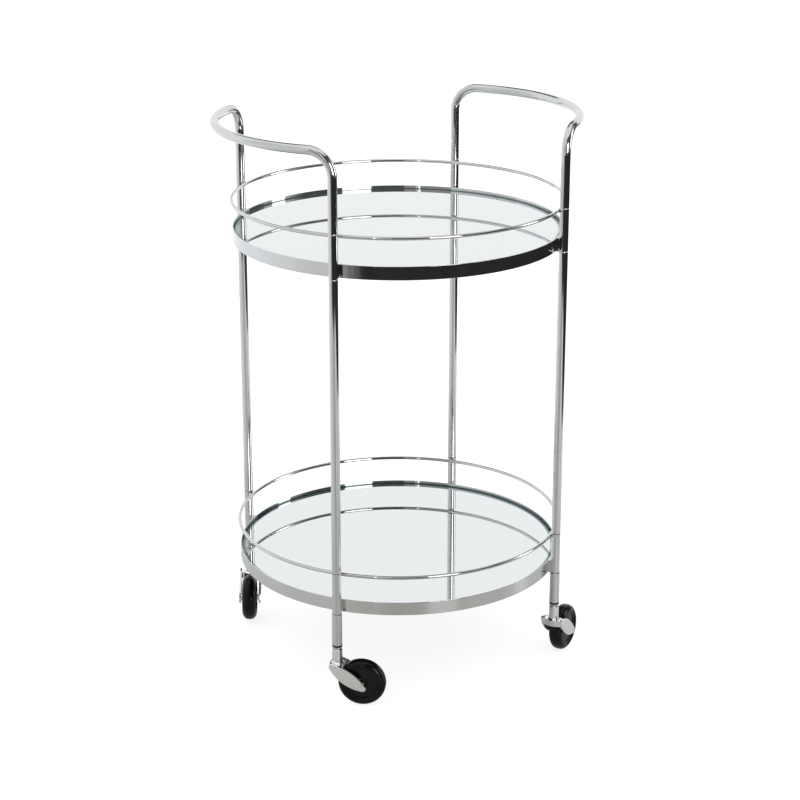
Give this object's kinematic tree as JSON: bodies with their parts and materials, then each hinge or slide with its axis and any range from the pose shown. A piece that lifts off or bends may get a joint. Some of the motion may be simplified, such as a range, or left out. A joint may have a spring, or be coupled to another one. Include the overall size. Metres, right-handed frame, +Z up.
{
  "type": "bar cart",
  "caption": "Round tiered bar cart with mirrored trays, wire gallery rails, bent tube push handles and swivel casters.",
  "frame": {"origin": "on the floor under the axis of the round trays", "axes": "+Z up; the push handles are at +X and -X; front is -Y"},
  "size_m": [0.5192, 0.4654, 0.7798],
  "materials": {
    "chrome": "polished chrome plate on steel tube and strip",
    "mirror": "silvered float glass with a polished edge",
    "board": "painted backing board",
    "satin": "satin nickel plate on a die casting",
    "stem": "bright turned steel",
    "bush": "black moulded nylon",
    "hub": "black moulded plastic",
    "tyre": "black solid rubber",
    "screw": "zinc-plated steel"
  },
  "bodies": {
    "frame": {"caster_back_left_stem": "stem", "caster_back_right_stem": "stem", "caster_front_left_stem": "stem", "caster_front_right_stem": "stem", "handle_inserts": "screw", "handle_left": "chrome", "handle_right": "chrome", "handle_studs": "screw", "leg_back_left": "chrome", "leg_back_right": "chrome", "leg_bushes": "bush", "leg_front_left": "chrome", "leg_front_right": "chrome", "leg_inserts": "screw", "leg_studs": "screw", "lower_backing_board": "board", "lower_guard_wire": "chrome", "lower_mirror": "mirror", "lower_mirror_ledge": "chrome", "lower_rim_band": "chrome", "lower_short_tubes": "chrome", "lower_spacer_pads": "chrome", "lower_tube_inserts": "screw", "post_back_left": "chrome", "post_back_right": "chrome", "post_front_left": "chrome", "post_front_right": "chrome", "post_inserts": "screw", "post_lower_studs": "screw", "post_upper_studs": "screw", "snap_rings": "screw", "upper_backing_board": "board", "upper_guard_wire": "chrome", "upper_mirror": "mirror", "upper_mirror_ledge": "chrome", "upper_rim_band": "chrome", "upper_short_tubes": "chrome", "upper_spacer_pads": "chrome", "upper_tube_inserts": "screw"},
    "swivel_front_left": {"caster_front_left_fork": "satin", "caster_front_left_axle": "screw"},
    "wheel_front_left": {"caster_front_left_wheel_hub": "hub", "caster_front_left_tyre": "tyre"},
    "swivel_front_right": {"caster_front_right_fork": "satin", "caster_front_right_axle": "screw"},
    "wheel_front_right": {"caster_front_right_wheel_hub": "hub", "caster_front_right_tyre": "tyre"},
    "swivel_back_right": {"caster_back_right_fork": "satin", "caster_back_right_axle": "screw"},
    "wheel_back_right": {"caster_back_right_wheel_hub": "hub", "caster_back_right_tyre": "tyre"},
    "swivel_back_left": {"caster_back_left_fork": "satin", "caster_back_left_axle": "screw"},
    "wheel_back_left": {"caster_back_left_wheel_hub": "hub", "caster_back_left_tyre": "tyre"}
  },
  "joints": [
    {"name": "swivel_front_left", "type": "hinge", "parent": "frame", "child": "swivel_front_left", "pos_m": [-0.169, -0.169, 0.07], "axis": [0, 0, 1], "continuous": true},
    {"name": "swivel_front_right", "type": "hinge", "parent": "frame", "child": "swivel_front_right", "pos_m": [0.169, -0.169, 0.07], "axis": [0, 0, 1], "continuous": true},
    {"name": "swivel_back_right", "type": "hinge", "parent": "frame", "child": "swivel_back_right", "pos_m": [0.169, 0.169, 0.07], "axis": [0, 0, 1], "continuous": true},
    {"name": "swivel_back_left", "type": "hinge", "parent": "frame", "child": "swivel_back_left", "pos_m": [-0.169, 0.169, 0.07], "axis": [0, 0, 1], "continuous": true},
    {"name": "roll_front_left", "type": "hinge", "parent": "swivel_front_left", "child": "wheel_front_left", "pos_m": [-0.14023, -0.18804, 0.0332], "axis": [0.5519, 0.8339, 0], "continuous": true},
    {"name": "roll_front_right", "type": "hinge", "parent": "swivel_front_right", "child": "wheel_front_right", "pos_m": [0.19618, -0.14776, 0.0332], "axis": [-0.6157, 0.788, 0], "continuous": true},
    {"name": "roll_back_right", "type": "hinge", "parent": "swivel_back_right", "child": "wheel_back_right", "pos_m": [0.13912, 0.18625, 0.0332], "axis": [-0.5, -0.866, 0], "continuous": true},
    {"name": "roll_back_left", "type": "hinge", "parent": "swivel_back_left", "child": "wheel_back_left", "pos_m": [-0.18303, 0.13748, 0.0332], "axis": [0.9135, -0.4067, 0], "continuous": true}
  ]
}
